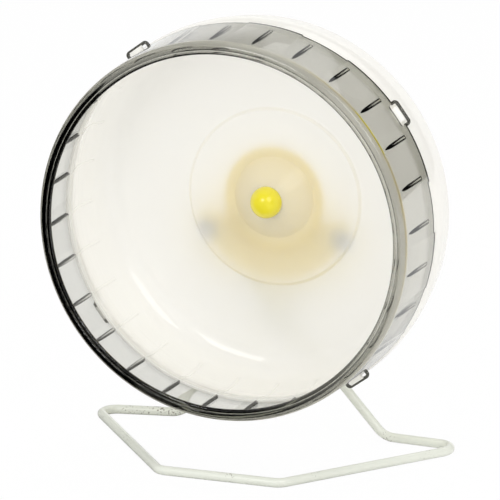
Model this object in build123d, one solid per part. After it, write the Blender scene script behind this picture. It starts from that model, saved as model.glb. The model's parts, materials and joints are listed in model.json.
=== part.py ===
from build123d import *
import math
import os

# Hamster wheel: a white drum and a clear front ring turn on a fixed axle, held by a
# bent wire stand whose two legs cross behind the drum and end in a plastic holder.
# While a piece is made, the axle is the Y axis, the ring's front face is at y = 0 and
# y grows towards the back. The finished pieces are then moved onto the floor.
# All sizes are millimetres, all angles degrees, counted from +X towards +Z.

# Front lip of the ring
LIP_INNER_RADIUS = 142.0
LIP_ROUNDING = 2.0
LIP_CORNER = 5.2
LIP_EDGE = 2.4
LIP_SLOPE = 35.6
LIP_GROOVE_INSET = 3.6
LIP_GROOVE_WIDTH = 1.4
LIP_GROOVE_DEPTH = 0.7

# Band of the ring
RING_DEPTH = 67.0
BAND_FRONT_RADIUS = 151.9
BAND_FLARE = 3.3
BAND_WALL = 2.2

# Rungs: pointed ribs in the ring, low ribs in line with them in the drum
RUNG_COUNT = 28
RING_RUNG_START = 13.0
RING_RUNG_WIDTH = 3.6
RING_RUNG_HEIGHT = 2.8
RING_RUNG_POINT = 0.5
RUNG_ROOT = 0.8
DRUM_RUNG_WIDTH = 1.8
DRUM_RUNG_HEIGHT = 0.9

# Snap clips: a raised loop on the ring bridges a window that a drum tooth fills
CLIP_COUNT = 4
CLIP_ANGLE = 36.0
WINDOW_WIDTH = 19.0
WINDOW_DEPTH = 8.5
WINDOW_ROUNDING = 2.4
LOOP_WIDTH = 22.8
LOOP_RISE = 5.0
LOOP_THICKNESS = 2.8
LOOP_ROUNDING = 1.1
LOOP_SHOULDER = 2.6
TOOTH_WIDTH = 12.0
TOOTH_CATCH = 0.9
TOOTH_TOP = 1.6
TOOTH_TOE = 1.0

# Notches between the clips, filled by lugs of the drum
NOTCH_ANGLE = 15.0
NOTCH_OFFSET = 29.0
NOTCH_DEPTH = 2.7

# Drum
DRUM_OVERLAP = 11.0
DRUM_WALL = 2.5
SKIRT_GAP = 0.25
SHOULDER_GAP = 0.4
SHOULDER_STEP = 0.2
DRUM_BELLY = 1.5
BELLY_Y = 82.0
BELLY_ROUNDING = 60.0
BACK_TAPER = 7.3
CORNER_RADIUS = 25.0
BACK_Y = 128.5
INNER_SWELL_START = 6.0

# Raised middle of the back wall and its cone
STEP_RADIUS = 71.7
STEP_RISE = 2.0
STEP_SLANT = 0.8
CONE_BASE_RADIUS = 33.6
CONE_TIP_RADIUS = 13.4
CONE_HEIGHT = 16.5

# Hub carrier: plugs into the cone from behind and holds both bearings
CARRIER_GAP = 0.3
CARRIER_FLANGE_RADIUS = 42.0
CARRIER_BACK = 2.0
CARRIER_TUBE_WALL = 2.4
CARRIER_SKIN = 2.2
CARRIER_RIB_COUNT = 6
CARRIER_RIB_WIDTH = 2.0
NOSE_RADIUS = 10.4
NOSE_BORE_RADIUS = 8.6
NOSE_LENGTH = 5.5
SEAT_SHOULDER = 1.0

# Hub cap
CAP_RADIUS = 12.8
CAP_SKIRT = 2.0
CAP_WALL = 1.8

# Ball bearings, standard size 608
BEARING_OUTER_RADIUS = 11.0
BEARING_BORE_RADIUS = 4.0
BEARING_WIDTH = 7.0
PITCH_RADIUS = 7.5
BALL_RADIUS = 1.984
BALL_COUNT = 7
INNER_LAND_RADIUS = 6.05
OUTER_LAND_RADIUS = 9.1
CAGE_THICKNESS = 1.0
CAGE_WIDTH = 5.0
SHIELD_THICKNESS = 0.3
SHIELD_INSET = 0.2
SHIELD_GAP = 0.25

# Axle parts
AXLE_GAP = 0.02
SPACER_LENGTH = 3.0
REAR_SPACER_LENGTH = 3.5
INNER_SPACER_RADIUS = 5.9
OUTER_SPACER_BORE = 9.3
FRONT_WASHER_THICKNESS = 1.5
BOLT_END = 1.6
NUT_HEIGHT = 8.0
NUT_ROUNDING_SHARE = 0.5
HEX_FLAT = 13.0
HEAD_HEIGHT = 5.3
WASHER_RADIUS = 8.0
WASHER_THICKNESS = 1.6
CIRCLIP_THICKNESS = 1.0
CIRCLIP_BITE = 0.7
CIRCLIP_BORE_RADIUS = 9.4
CIRCLIP_OPENING = 40.0

# Wire stand
WIRE_DIAMETER = 7.5
AXLE_HEIGHT = 200.5
FRONT_BEND_X = 51.0
FRONT_BAR_Y = -2.5
REAR_BEND_X = 162.0
REAR_BEND_Y = 135.0
FOOT_X = 90.0
FLOOR_BEND_RADIUS = 12.0
FOOT_BEND_RADIUS = 18.0
HOOK_RADIUS = 7.5
LEG_GAP = 0.1
HOOK_INSET = 13.0
HOOK_Z = -31.0
HOOK_END = 2.1

# Holder: a half-moon tray that grips both wire ends and the axle bolt
MOON_RADIUS = 70.0
MOON_TOP_Z = -14.0
MOON_ROUNDING = 5.0
HUB_PLATE_RADIUS = 26.0
HUB_BLEND = 10.0
PLATE_THICKNESS = 2.6
RIM_WALL = 2.4
BOSS_RADIUS = 12.0
CHANNEL_WIDTH = 13.0
CHANNEL_REACH = 8.0
WIRE_GAP = 0.1
COVER_THICKNESS = 3.0
RIB_THICKNESS = 2.0
SCREW_INSET = 12.0
SIDE_SCREW_INSET = 30.0
SIDE_SCREW_Z = -22.0
TOP_SCREW_Z = 19.0
SCREW_RADIUS = 1.9
SCREW_BOSS_RADIUS = 4.2
SCREW_HEAD_RADIUS = 3.6
SCREW_HEAD_HEIGHT = 2.2
SCREW_LENGTH = 13.0

# Push-on caps on the wire ends
END_CAP_RADIUS = 8.5
END_CAP_HEIGHT = 3.5
END_CAP_BRIM = 1.0
END_CAP_CROWN_RADIUS = 5.2

# Fits
FIT = 0.05
CUT = 2.0

# Places worked out from the sizes above
band_rear_radius = BAND_FRONT_RADIUS + BAND_FLARE
shoulder_radius = band_rear_radius + SHOULDER_STEP
drum_radius = shoulder_radius + DRUM_BELLY
back_radius = drum_radius - BACK_TAPER
band_slope = BAND_FLARE / RING_DEPTH
band_angle = math.degrees(math.atan(band_slope))
rung_step = 360 / RUNG_COUNT
first_rung = CLIP_ANGLE + rung_step / 2
drum_rim_y = RING_DEPTH - DRUM_OVERLAP
disc_y = BACK_Y - STEP_RISE
disc_back_y = disc_y + DRUM_WALL
back_outer_y = BACK_Y + DRUM_WALL
back_slope = BACK_TAPER / (back_outer_y - BELLY_Y)
inner_back_radius = back_radius + back_slope * DRUM_WALL - DRUM_WALL * math.hypot(1, back_slope)
cone_tip_y = disc_y - CONE_HEIGHT
cone_spread = (CONE_BASE_RADIUS - CONE_TIP_RADIUS) / CONE_HEIGHT
shoulder_y = RING_DEPTH + SHOULDER_GAP
front_bearing_y = cone_tip_y + DRUM_WALL + SEAT_SHOULDER
rear_bearing_y = front_bearing_y + BEARING_WIDTH + SPACER_LENGTH
rear_race_y = rear_bearing_y + BEARING_WIDTH
carrier_back_y = rear_race_y + CARRIER_BACK
holder_y = rear_race_y + REAR_SPACER_LENGTH
plate_back_y = holder_y + PLATE_THICKNESS
hook_x = MOON_RADIUS - HOOK_INSET
side_screw_x = MOON_RADIUS - SIDE_SCREW_INSET
screw_places = (
    (-side_screw_x, SIDE_SCREW_Z),
    (side_screw_x, SIDE_SCREW_Z),
    (0.0, SCREW_INSET - MOON_RADIUS),
    (0.0, TOP_SCREW_Z),
)
wire_radius = WIRE_DIAMETER / 2
front_leg_y = plate_back_y + WIRE_GAP + wire_radius
back_leg_y = front_leg_y + WIRE_DIAMETER + LEG_GAP
tray_back_y = back_leg_y + wire_radius + WIRE_GAP
cover_y = tray_back_y
cover_back_y = cover_y + COVER_THICKNESS
head_y = cover_back_y + WASHER_THICKNESS
wire_z = wire_radius - AXLE_HEIGHT
front_washer_y = front_bearing_y - FRONT_WASHER_THICKNESS
nut_y = front_washer_y - NUT_HEIGHT
bolt_end_y = nut_y - BOLT_END
loop_top_radius = band_rear_radius + LOOP_RISE
loop_under_radius = loop_top_radius - LOOP_THICKNESS
front_reach_y = FRONT_BAR_Y - wire_radius
back_reach_y = head_y + HEAD_HEIGHT


def band_radius(y):
    """Outer radius of the ring's band at depth y."""
    return BAND_FRONT_RADIUS + band_slope * y


def skirt_radius(y):
    """Outer radius of the drum's skirt, which slides into the band."""
    return band_radius(y) - BAND_WALL - SKIRT_GAP


def turned(shape, angle):
    """Turn a piece about the axle, from +X towards +Z."""
    return Rot(0, -angle, 0) * shape


def outline(*points):
    """A flat face through points given as radius and depth, or as x and z."""
    return make_face(Polyline(*points, close=True))


def rounded(face, *corners):
    """Round corners of a flat face, each given as a point and a radius."""
    for point, radius in corners:
        nearest = face.vertices().sort_by_distance(point)[0]
        face = fillet(nearest, radius)
    return face


def spun(face, arc=360):
    """Revolve a face of radius and depth about the axle."""
    return revolve(face, axis=Axis.Y, revolution_arc=arc)


def tube(inner, outer, front, back):
    """A plain round tube about the axle."""
    return spun(outline((inner, front), (outer, front), (outer, back), (inner, back)))


def slab(sketch, front, back):
    """Extrude a sketch of x and z between two depths."""
    return Pos(0, back, 0) * extrude(Plane.XZ * sketch, back - front)


def around(count, first, make):
    """Place copies about the axle at even angles."""
    return [turned(make, first + index * 360 / count) for index in range(count)]


def sector(inner, outer, front, back, arc):
    """A piece of a tube, centred on +X."""
    face = outline((inner, front), (outer, front), (outer, back), (inner, back))
    return turned(spun(face, arc), arc / 2)


# Front ring
def lip_and_band():
    """The turned body of the ring: a lip with a sloped rear face and a coned band."""
    groove_middle = LIP_INNER_RADIUS + LIP_GROOVE_INSET
    groove = LIP_GROOVE_WIDTH / 2
    slope = math.tan(math.radians(LIP_SLOPE))
    rise = BAND_FRONT_RADIUS - BAND_WALL - LIP_INNER_RADIUS + band_slope * LIP_EDGE
    run = rise * slope / (1 - band_slope * slope)
    body = outline(
        (LIP_INNER_RADIUS, 0),
        (groove_middle - groove, 0),
        (groove_middle, LIP_GROOVE_DEPTH),
        (groove_middle + groove, 0),
        (BAND_FRONT_RADIUS, 0),
        (band_rear_radius, RING_DEPTH),
        (band_rear_radius - BAND_WALL, RING_DEPTH),
        (LIP_INNER_RADIUS + run / slope, LIP_EDGE + run),
        (LIP_INNER_RADIUS, LIP_EDGE),
    )
    body = rounded(
        body,
        ((LIP_INNER_RADIUS, 0), LIP_ROUNDING),
        ((BAND_FRONT_RADIUS, 0), LIP_CORNER),
    )
    return spun(body)


def window_cut():
    """The round-cornered window in the rear edge under a loop."""
    window = RectangleRounded(WINDOW_WIDTH, WINDOW_DEPTH * 2, WINDOW_ROUNDING)
    plane = Plane(
        origin=(band_rear_radius - BAND_WALL - CUT, RING_DEPTH, 0),
        x_dir=(0, 0, 1),
        z_dir=(1, 0, 0),
    )
    return extrude(plane * window, BAND_WALL + CUT * 2)


def clip_loop():
    """The raised loop: two posts and a bar, rounded like a rod."""
    foot_radius = band_rear_radius - BAND_WALL
    half = LOOP_WIDTH / 2
    inner = half - LOOP_THICKNESS
    arch = outline(
        (foot_radius, -half),
        (loop_top_radius, -half),
        (loop_top_radius, half),
        (foot_radius, half),
        (foot_radius, inner),
        (loop_under_radius, inner),
        (loop_under_radius, -inner),
        (foot_radius, -inner),
    )
    arch = rounded(
        arch,
        ((loop_top_radius, -half), LOOP_SHOULDER),
        ((loop_top_radius, half), LOOP_SHOULDER),
    )
    loop = slab(arch, RING_DEPTH - LOOP_THICKNESS, RING_DEPTH)
    edges = loop.edges().filter_by(
        lambda edge: min(vertex.X for vertex in edge.vertices()) > band_rear_radius
    )
    outside = edges.filter_by(lambda edge: edge.center().X > loop_top_radius - FIT)
    return fillet(outside, LOOP_ROUNDING)


def ring_rung():
    """A pointed rib on the inside of the band, growing towards the back."""
    length = drum_rim_y - RING_RUNG_START - SKIRT_GAP
    tip = RING_RUNG_POINT / 2
    half = RING_RUNG_WIDTH / 2
    crown = half / 2
    back = outline(
        (RUNG_ROOT, -half),
        (RUNG_ROOT, half),
        (-RING_RUNG_HEIGHT / 2, half),
        (-RING_RUNG_HEIGHT, crown),
        (-RING_RUNG_HEIGHT, -crown),
        (-RING_RUNG_HEIGHT / 2, -half),
    )
    front = outline(
        (RUNG_ROOT, -tip),
        (RUNG_ROOT, tip),
        (-tip, tip),
        (-RING_RUNG_POINT, tip / 2),
        (-RING_RUNG_POINT, -tip / 2),
        (-tip, -tip),
    )
    sections = [Plane.XZ * front, Pos(0, length, 0) * (Plane.XZ * back)]
    rib = loft(sections, ruled=True)
    place = (band_radius(RING_RUNG_START) - BAND_WALL, RING_RUNG_START, 0)
    return Pos(*place) * Rot(0, 0, -band_angle) * rib


def front_ring():
    """The see-through ring with its rungs, notches, windows and loops."""
    ring = lip_and_band()
    ring += around(RUNG_COUNT, first_rung, ring_rung())
    notch = sector(
        band_rear_radius - BAND_WALL - CUT,
        band_rear_radius + CUT,
        RING_DEPTH - NOTCH_DEPTH,
        RING_DEPTH + CUT,
        NOTCH_ANGLE,
    )
    ring -= around(CLIP_COUNT, CLIP_ANGLE + NOTCH_OFFSET, notch)
    ring -= around(CLIP_COUNT, CLIP_ANGLE - NOTCH_OFFSET, notch)
    ring -= around(CLIP_COUNT, CLIP_ANGLE, window_cut())
    ring += around(CLIP_COUNT, CLIP_ANGLE, clip_loop())
    return ring


# Drum
def inner_points():
    """Inside of the drum from its rim to the back wall, as radius and depth."""
    swell_y = shoulder_y - INNER_SWELL_START
    return [
        (skirt_radius(drum_rim_y) - DRUM_WALL, drum_rim_y),
        (skirt_radius(swell_y) - DRUM_WALL, swell_y),
        (drum_radius - DRUM_WALL, BELLY_Y),
        (inner_back_radius, BACK_Y),
    ]


def drum_body():
    """The turned bowl: skirt, shoulder, rounded corner, raised middle and cone."""
    slant = STEP_SLANT
    inside = inner_points()
    cone_skin = DRUM_WALL * math.hypot(1, cone_spread)
    cone_back_tip_y = cone_tip_y + DRUM_WALL
    cone_back_tip = CONE_TIP_RADIUS + cone_spread * DRUM_WALL - cone_skin
    cone_back_base = CONE_BASE_RADIUS + cone_spread * DRUM_WALL - cone_skin
    hole = NOSE_RADIUS + FIT
    body = outline(
        *inside,
        (STEP_RADIUS + slant, BACK_Y),
        (STEP_RADIUS, disc_y),
        (CONE_BASE_RADIUS, disc_y),
        (CONE_TIP_RADIUS, cone_tip_y),
        (hole, cone_tip_y),
        (hole, cone_back_tip_y),
        (cone_back_tip, cone_back_tip_y),
        (cone_back_base, disc_back_y),
        (STEP_RADIUS, disc_back_y),
        (STEP_RADIUS + slant, back_outer_y),
        (back_radius, back_outer_y),
        (drum_radius, BELLY_Y),
        (shoulder_radius, shoulder_y),
        (skirt_radius(shoulder_y), shoulder_y),
        (skirt_radius(drum_rim_y), drum_rim_y),
    )
    body = rounded(
        body,
        (inside[-1], CORNER_RADIUS - DRUM_WALL),
        ((back_radius, back_outer_y), CORNER_RADIUS),
        (inside[-2], BELLY_ROUNDING - DRUM_WALL),
        ((drum_radius, BELLY_Y), BELLY_ROUNDING),
        ((CONE_BASE_RADIUS, disc_y), DRUM_WALL / 2),
    )
    return spun(body)


def drum_rung():
    """A low rib that follows the inside of the drum into its corner."""
    inside = inner_points()[:-1]
    corner_y = BACK_Y - CORNER_RADIUS
    corner_radius = drum_radius - DRUM_WALL - back_slope * (corner_y - BELLY_Y)
    run = inside + [(corner_radius, corner_y)]
    top = [(radius - DRUM_RUNG_HEIGHT, y) for radius, y in run]
    root = [(radius + RUNG_ROOT, y) for radius, y in run]
    arc = math.degrees(DRUM_RUNG_WIDTH / drum_radius)
    return turned(spun(outline(*top, *reversed(root)), arc), arc / 2)


def tooth():
    """The ramped tooth that stands in a window and catches the loop."""
    foot = skirt_radius(RING_DEPTH) - RUNG_ROOT
    toe_y = RING_DEPTH - WINDOW_DEPTH + TOOTH_TOE
    catch_y = RING_DEPTH - LOOP_THICKNESS - SHOULDER_GAP
    crest = loop_under_radius + TOOTH_CATCH
    side = outline(
        (foot, toe_y),
        (skirt_radius(toe_y) + TOOTH_TOE, toe_y),
        (crest, catch_y - TOOTH_TOP),
        (crest, catch_y),
        (foot, catch_y),
    )
    return Pos(0, 0, -TOOTH_WIDTH / 2) * extrude(side, TOOTH_WIDTH)


def lug():
    """The part of the shoulder that fills a notch of the ring."""
    gap_angle = math.degrees(SHOULDER_GAP / band_rear_radius)
    return sector(
        skirt_radius(RING_DEPTH) - RUNG_ROOT,
        band_rear_radius,
        RING_DEPTH - NOTCH_DEPTH + SHOULDER_GAP,
        shoulder_y + RUNG_ROOT,
        NOTCH_ANGLE - gap_angle * 2,
    )


def drum():
    """The white bowl that the animal runs in."""
    bowl = drum_body()
    bowl += around(RUNG_COUNT, first_rung, drum_rung())
    bowl += around(CLIP_COUNT, CLIP_ANGLE + NOTCH_OFFSET, lug())
    bowl += around(CLIP_COUNT, CLIP_ANGLE - NOTCH_OFFSET, lug())
    bowl += around(CLIP_COUNT, CLIP_ANGLE, tooth())
    return bowl


# Hub
def hub_carrier():
    """The plug behind the cone, with both bearing seats, ribbed at the back."""
    seat = BEARING_OUTER_RADIUS + FIT
    groove = BEARING_OUTER_RADIUS + CIRCLIP_BITE
    groove_back_y = rear_race_y + CIRCLIP_THICKNESS + FIT * 2
    cone_skin = (DRUM_WALL + CARRIER_GAP) * math.hypot(1, cone_spread)
    flange_y = disc_back_y + CARRIER_GAP
    collar_y = cone_tip_y + DRUM_WALL + FIT
    collar = CONE_TIP_RADIUS + cone_spread * (collar_y - cone_tip_y) - cone_skin
    base = CONE_BASE_RADIUS + cone_spread * (flange_y - disc_y) - cone_skin
    body = outline(
        (NOSE_BORE_RADIUS, cone_tip_y - NOSE_LENGTH),
        (NOSE_RADIUS, cone_tip_y - NOSE_LENGTH),
        (NOSE_RADIUS, collar_y),
        (collar, collar_y),
        (base, flange_y),
        (CARRIER_FLANGE_RADIUS, flange_y),
        (CARRIER_FLANGE_RADIUS, carrier_back_y),
        (seat, carrier_back_y),
        (seat, groove_back_y),
        (groove, groove_back_y),
        (groove, rear_race_y),
        (seat, rear_race_y),
        (seat, front_bearing_y),
        (NOSE_BORE_RADIUS, front_bearing_y),
    )
    tube_radius = BEARING_OUTER_RADIUS + CARRIER_TUBE_WALL
    skin = CARRIER_SKIN * math.hypot(1, cone_spread)
    pocket_front_y = collar_y + (tube_radius + skin - collar) / cone_spread
    pocket = spun(
        outline(
            (tube_radius, pocket_front_y),
            (base - skin, flange_y),
            (base - skin, carrier_back_y + CUT),
            (tube_radius, carrier_back_y + CUT),
        )
    )
    rib = Box(base * 2, CONE_HEIGHT * 2, CARRIER_RIB_WIDTH)
    rib = Pos(0, flange_y - CARRIER_BACK, 0) * rib
    rib_step = 360 / CARRIER_RIB_COUNT
    ribs = [Rot(0, index * rib_step, 0) * rib for index in range(CARRIER_RIB_COUNT // 2)]
    return spun(body) - (pocket - ribs)


def hub_cap():
    """The yellow dome pressed over the carrier's nose."""
    base_y = cone_tip_y - FIT
    centre_y = base_y - CAP_SKIRT
    bore = NOSE_RADIUS + FIT
    inner = CAP_RADIUS - CAP_WALL
    shoulder = cone_tip_y - NOSE_LENGTH - FIT
    outside = Circle(CAP_RADIUS).moved(Location((0, centre_y)))
    front_half = Pos(CAP_RADIUS, centre_y - CAP_RADIUS) * Rectangle(CAP_RADIUS * 2, CAP_RADIUS * 2)
    skirt = Pos(CAP_RADIUS / 2, centre_y + CAP_SKIRT / 2) * Rectangle(CAP_RADIUS, CAP_SKIRT)
    dome = (outside & front_half) + skirt
    hollow = Circle(inner).moved(Location((0, centre_y))) & front_half
    hollow += Pos(bore / 2, (base_y + shoulder) / 2) * Rectangle(bore, base_y - shoulder)
    return spun(dome - hollow)


# Bearings
def raceway(front):
    """The ring of clearance that the balls roll in."""
    groove = Pos(PITCH_RADIUS, front + BEARING_WIDTH / 2) * Circle(BALL_RADIUS + FIT)
    return spun(groove)


def inner_race(front):
    """Inner ring of a bearing whose front face is at the given depth."""
    ring = tube(BEARING_BORE_RADIUS, INNER_LAND_RADIUS, front, front + BEARING_WIDTH)
    return ring - raceway(front)


def outer_race(front):
    """Outer ring of a bearing."""
    ring = tube(OUTER_LAND_RADIUS, BEARING_OUTER_RADIUS, front, front + BEARING_WIDTH)
    return ring - raceway(front)


def bearing_balls(front):
    """The balls of a bearing, as separate solids."""
    ball = Pos(PITCH_RADIUS, front + BEARING_WIDTH / 2, 0) * Sphere(BALL_RADIUS)
    return Compound(children=around(BALL_COUNT, 0, ball))


def bearing_cage(front):
    """The ring with pockets that keeps the balls apart."""
    middle = front + BEARING_WIDTH / 2
    ring = tube(
        PITCH_RADIUS - CAGE_THICKNESS / 2,
        PITCH_RADIUS + CAGE_THICKNESS / 2,
        middle - CAGE_WIDTH / 2,
        middle + CAGE_WIDTH / 2,
    )
    pocket = Pos(PITCH_RADIUS, middle, 0) * Rot(0, 90, 0)
    pocket *= Cylinder(BALL_RADIUS + FIT, CAGE_THICKNESS * 2)
    return ring - around(BALL_COUNT, 0, pocket)


def bearing_shields(front):
    """Two thin dust shields, pressed into the outer ring."""
    inner = INNER_LAND_RADIUS + SHIELD_GAP
    outer = OUTER_LAND_RADIUS - AXLE_GAP
    front_y = front + SHIELD_INSET
    back_y = front + BEARING_WIDTH - SHIELD_INSET
    first = tube(inner, outer, front_y, front_y + SHIELD_THICKNESS)
    second = tube(inner, outer, back_y - SHIELD_THICKNESS, back_y)
    return Compound(children=[first, second])


# Axle
def hexagon():
    """Outline of a bolt head or nut."""
    return RegularPolygon(HEX_FLAT / 2, 6, major_radius=False)


def axle_bolt():
    """The fixed axle: a hex bolt through the holder, bearings and hub."""
    shank = BEARING_BORE_RADIUS - AXLE_GAP
    body = tube(0, shank, bolt_end_y, head_y + HEAD_HEIGHT / 2)
    return body + slab(hexagon(), head_y, head_y + HEAD_HEIGHT)


def lock_nut():
    """Self-locking nut with a round collar, inside the hub cap."""
    hex_back = front_washer_y
    hex_front = nut_y + NUT_HEIGHT * (1 - NUT_ROUNDING_SHARE) / 2
    body = slab(hexagon(), hex_front, hex_back)
    collar = tube(BEARING_BORE_RADIUS, HEX_FLAT / 2, nut_y, hex_front + FIT)
    bore = tube(0, BEARING_BORE_RADIUS, nut_y - CUT, hex_back + CUT)
    return body - bore + collar


def circlip():
    """Open spring ring in the groove behind the rear bearing."""
    ring = tube(
        CIRCLIP_BORE_RADIUS,
        BEARING_OUTER_RADIUS + CIRCLIP_BITE - FIT,
        rear_race_y + FIT,
        rear_race_y + FIT + CIRCLIP_THICKNESS,
    )
    gap = sector(
        0,
        BEARING_OUTER_RADIUS + CUT,
        rear_race_y - CUT,
        rear_race_y + CUT,
        CIRCLIP_OPENING,
    )
    return ring - gap


# Stand
def hook_points(side, leg_y):
    """A wire end: through the holder plate, then to the foot on the other side."""
    end_x = hook_x * side
    return [
        (end_x, holder_y - HOOK_END, HOOK_Z),
        (end_x, leg_y, HOOK_Z),
        (-FOOT_X * side, leg_y, wire_z),
    ]


def bent_wire(points, radii, radius):
    """A round wire along straight runs joined by bends."""
    path = FilletPolyline(*points, radius=radii)
    start = Plane(origin=path @ 0, z_dir=path % 0)
    return sweep(start * Circle(radius), path)


def stand_wire():
    """One wire: hook, leg, foot, side, front bar and the same back again."""
    floor = [
        (REAR_BEND_X, REAR_BEND_Y, wire_z),
        (FRONT_BEND_X, FRONT_BAR_Y, wire_z),
        (-FRONT_BEND_X, FRONT_BAR_Y, wire_z),
        (-REAR_BEND_X, REAR_BEND_Y, wire_z),
    ]
    start = hook_points(-1, front_leg_y)
    end = list(reversed(hook_points(1, back_leg_y)))
    feet = [HOOK_RADIUS, FOOT_BEND_RADIUS]
    radii = feet + [FLOOR_BEND_RADIUS] * len(floor) + list(reversed(feet))
    return bent_wire(start + floor + end, radii, wire_radius)


def holder_outline():
    """Half-moon joined to a round plate about the axle."""
    width = MOON_RADIUS * 2
    below = Pos(0, MOON_TOP_Z - MOON_RADIUS) * Rectangle(width, width)
    moon = Circle(MOON_RADIUS) & below
    shape = moon + Circle(HUB_PLATE_RADIUS)
    corner_x = math.sqrt(MOON_RADIUS**2 - MOON_TOP_Z**2)
    blend_x = math.sqrt(HUB_PLATE_RADIUS**2 - MOON_TOP_Z**2)
    return rounded(
        shape,
        ((corner_x, MOON_TOP_Z, 0), MOON_ROUNDING),
        ((-corner_x, MOON_TOP_Z, 0), MOON_ROUNDING),
        ((blend_x, MOON_TOP_Z, 0), HUB_BLEND),
        ((-blend_x, MOON_TOP_Z, 0), HUB_BLEND),
    )


def leg_strip(side, width):
    """A strip of x and z along a leg, from past its hook to past the holder's rim."""
    run_x = -(FOOT_X + hook_x) * side
    run_z = wire_z - HOOK_Z
    reach = MOON_RADIUS + CHANNEL_REACH
    angle = math.degrees(math.atan2(run_z, run_x))
    strip = Pos(reach / 2 - CHANNEL_REACH, 0) * Rectangle(reach, width)
    return Pos(hook_x * side, HOOK_Z) * Rot(0, 0, angle) * strip


def wire_room(side, leg_y):
    """Space for a wire end in the holder, open to the back."""
    groove = bent_wire(hook_points(side, leg_y), [HOOK_RADIUS], wire_radius + WIRE_GAP)
    slot = slab(leg_strip(side, WIRE_DIAMETER + WIRE_GAP * 2), leg_y, tray_back_y + CUT)
    return groove + slot


def bearing_holder():
    """The yellow half-moon tray that carries the axle on the wire stand."""
    shape = holder_outline()
    rim = shape - offset(shape, -RIM_WALL)
    tray = slab(shape, holder_y, plate_back_y) + slab(rim, holder_y, tray_back_y)
    tray += slab(Circle(BOSS_RADIUS), holder_y, tray_back_y)
    for side in (-1, 1):
        channel = leg_strip(side, CHANNEL_WIDTH) & shape
        tray += slab(channel, holder_y, tray_back_y)
    ribs = Rectangle(hook_x * 2, RIB_THICKNESS)
    tray += slab((Pos(0, screw_places[0][1]) * ribs) & shape, holder_y, tray_back_y)
    spine = Pos(0, MOON_TOP_Z) * Rectangle(RIB_THICKNESS, MOON_RADIUS * 2)
    tray += slab(spine & shape, holder_y, tray_back_y)
    for x, z in screw_places:
        tray += slab(Pos(x, z) * Circle(SCREW_BOSS_RADIUS), holder_y, tray_back_y)
    for x, z in screw_places:
        hole = Pos(x, z) * Circle(SCREW_RADIUS + FIT)
        tray -= slab(hole, cover_back_y - SCREW_LENGTH - FIT, tray_back_y + CUT)
    tray -= tube(0, BEARING_BORE_RADIUS + FIT, holder_y - CUT, tray_back_y + CUT)
    tray -= wire_room(-1, front_leg_y)
    tray -= wire_room(1, back_leg_y)
    return tray


def holder_cover():
    """The back plate of the holder, with a tongue that presses on the nearer leg."""
    shape = holder_outline()
    plate = slab(shape, cover_y + FIT, cover_back_y)
    tongue_front_y = front_leg_y + wire_radius + WIRE_GAP
    inset = offset(shape, -RIM_WALL)
    strip = leg_strip(-1, WIRE_DIAMETER - WIRE_GAP * 2) & inset
    plate += slab(strip, tongue_front_y, cover_y + COVER_THICKNESS / 2)
    for x, z in screw_places:
        plate -= slab(Pos(x, z) * Circle(SCREW_RADIUS + FIT), cover_y - CUT, cover_back_y + CUT)
    return plate - tube(0, BEARING_BORE_RADIUS + FIT, cover_y - CUT, cover_back_y + CUT)


def cover_screws():
    """Four round-headed screws."""
    screws = []
    for x, z in screw_places:
        shank = slab(Pos(x, z) * Circle(SCREW_RADIUS), cover_back_y - SCREW_LENGTH, cover_back_y)
        head_back_y = cover_back_y + SCREW_HEAD_HEIGHT
        head = slab(Pos(x, z) * Circle(SCREW_HEAD_RADIUS), cover_back_y, head_back_y)
        rim = head.edges().group_by(Axis.Y)[-1]
        screws.append(shank + fillet(rim, SCREW_HEAD_HEIGHT / 2))
    return Compound(children=screws)


def wire_end_caps():
    """Domed spring caps pushed onto the two wire ends in front of the holder."""
    bore = wire_radius + FIT
    seat_y = holder_y - FIT
    front_y = seat_y - END_CAP_HEIGHT
    crown = outline(
        (0, front_y),
        (END_CAP_CROWN_RADIUS, front_y),
        (END_CAP_RADIUS, seat_y - END_CAP_BRIM),
        (END_CAP_RADIUS, seat_y),
        (bore, seat_y),
        (bore, holder_y - HOOK_END - FIT),
        (0, holder_y - HOOK_END - FIT),
    )
    cap = spun(rounded(crown, ((END_CAP_CROWN_RADIUS, front_y), END_CAP_BRIM)))
    return Compound(children=[Pos(hook_x * side, 0, HOOK_Z) * cap for side in (-1, 1)])


def build():
    """Every piece by name, still about the axle."""
    inner = INNER_SPACER_RADIUS
    bore = BEARING_BORE_RADIUS
    front, rear = front_bearing_y, rear_bearing_y
    front_back = front + BEARING_WIDTH
    return {
        "drum": drum(),
        "front_ring": front_ring(),
        "hub_carrier": hub_carrier(),
        "hub_cap": hub_cap(),
        "front_outer_race": outer_race(front),
        "front_inner_race": inner_race(front),
        "front_bearing_balls": bearing_balls(front),
        "front_bearing_cage": bearing_cage(front),
        "front_bearing_shields": bearing_shields(front),
        "rear_outer_race": outer_race(rear),
        "rear_inner_race": inner_race(rear),
        "rear_bearing_balls": bearing_balls(rear),
        "rear_bearing_cage": bearing_cage(rear),
        "rear_bearing_shields": bearing_shields(rear),
        "inner_spacer": tube(bore, inner, front_back, rear),
        "outer_spacer": tube(OUTER_SPACER_BORE, BEARING_OUTER_RADIUS, front_back, rear),
        "bearing_circlip": circlip(),
        "rear_spacer": tube(bore, inner, rear_race_y, holder_y),
        "front_washer": tube(bore, inner, front_washer_y, front),
        "axle_bolt": axle_bolt(),
        "lock_nut": lock_nut(),
        "axle_washer": tube(bore, WASHER_RADIUS, cover_back_y, head_y),
        "bearing_holder": bearing_holder(),
        "holder_cover": holder_cover(),
        "cover_screws": cover_screws(),
        "wire_end_caps": wire_end_caps(),
        "stand_wire": stand_wire(),
    }


os.makedirs("parts", exist_ok=True)
on_floor = Pos(0, -(front_reach_y + back_reach_y) / 2, AXLE_HEIGHT)
for name, piece in build().items():
    export_step(on_floor * piece, f"parts/{name}.step")
print("axle depth", on_floor.position.Y, "height", AXLE_HEIGHT)
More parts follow.
